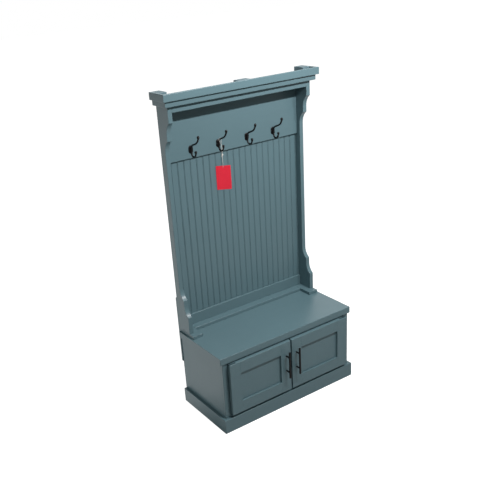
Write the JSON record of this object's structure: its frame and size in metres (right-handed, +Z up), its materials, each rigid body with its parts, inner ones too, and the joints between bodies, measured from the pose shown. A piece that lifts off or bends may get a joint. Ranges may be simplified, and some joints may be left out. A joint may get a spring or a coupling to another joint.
{
  "type": "hall tree",
  "caption": "Hall tree: a bench cabinet with framed doors, a beadboard back between scalloped side panels, a rail of coat hooks and a stepped crown.",
  "frame": {"origin": "centre of the footprint, on the floor", "axes": "+Z up; -Y is the front, where the doors are; +X to the right as seen from the front"},
  "size_m": [0.988, 0.493, 1.824],
  "materials": {
    "paint": "satin blue-grey paint",
    "paint_inside": "satin blue-grey paint",
    "black_metal": "matte black",
    "hook_iron": "matte black",
    "pivot_steel": "satin",
    "catch": "matte white",
    "bumper": "soft clear grey",
    "tag": "smooth card",
    "string": "twisted cotton"
  },
  "bodies": {
    "body": {"cabinet_side_left": "paint", "cabinet_side_right": "paint", "cabinet_floor": "paint_inside", "cabinet_back": "paint_inside", "back_stretcher": "paint_inside", "face_stile_left": "paint", "face_stile_right": "paint", "face_stile_centre": "paint", "face_rail_top": "paint", "face_rail_bottom": "paint", "plinth_front": "paint", "plinth_left": "paint", "plinth_right": "paint", "bench_top": "paint", "door_bumpers": "bumper", "magnetic_catches": "catch", "pivot_plates": "black_metal", "foot_left": "paint", "foot_right": "paint", "foot_back": "paint", "side_panel_left": "paint", "side_panel_right": "paint", "beadboard": "paint", "bottom_rail": "paint", "hook_rail": "paint", "frieze": "paint", "crown_board": "paint", "crown_bed_front": "paint", "crown_bed_returns": "paint", "crown_fascia_front": "paint", "crown_fascia_returns": "paint", "crown_blocks": "paint_inside", "batten_left": "paint", "batten_right": "paint", "hook_1": "hook_iron", "hook_2": "hook_iron", "hook_3": "hook_iron", "hook_4": "hook_iron", "hook_screws": "black_metal"},
    "door_left": {"door_left_pivot_stile": "paint", "door_left_free_stile": "paint", "door_left_top_rail": "paint", "door_left_bottom_rail": "paint", "door_left_panel": "paint", "door_left_pivot_leaves": "black_metal", "door_left_strike": "pivot_steel", "door_left_pull_bar": "black_metal", "door_left_pull_posts": "black_metal"},
    "door_right": {"door_right_pivot_stile": "paint", "door_right_free_stile": "paint", "door_right_top_rail": "paint", "door_right_bottom_rail": "paint", "door_right_panel": "paint", "door_right_pivot_leaves": "black_metal", "door_right_strike": "pivot_steel", "door_right_pull_bar": "black_metal", "door_right_pull_posts": "black_metal"},
    "hang_tag": {"hang_tag": "tag", "tag_string": "string"}
  },
  "joints": [
    {"name": "door_left_swing", "type": "hinge", "parent": "body", "child": "door_left", "pos_m": [-0.414, -0.1995, 0.26325], "axis": [0, 0, -1], "range_deg": [0, 105]},
    {"name": "door_right_swing", "type": "hinge", "parent": "body", "child": "door_right", "pos_m": [0.414, -0.1995, 0.26325], "axis": [0, 0, 1], "range_deg": [0, 105]},
    {"name": "tag_swing", "type": "hinge", "parent": "body", "child": "hang_tag", "pos_m": [-0.11491, 0.1935, 1.5248], "axis": [0, -1, 0], "range_deg": [0, 25]}
  ]
}
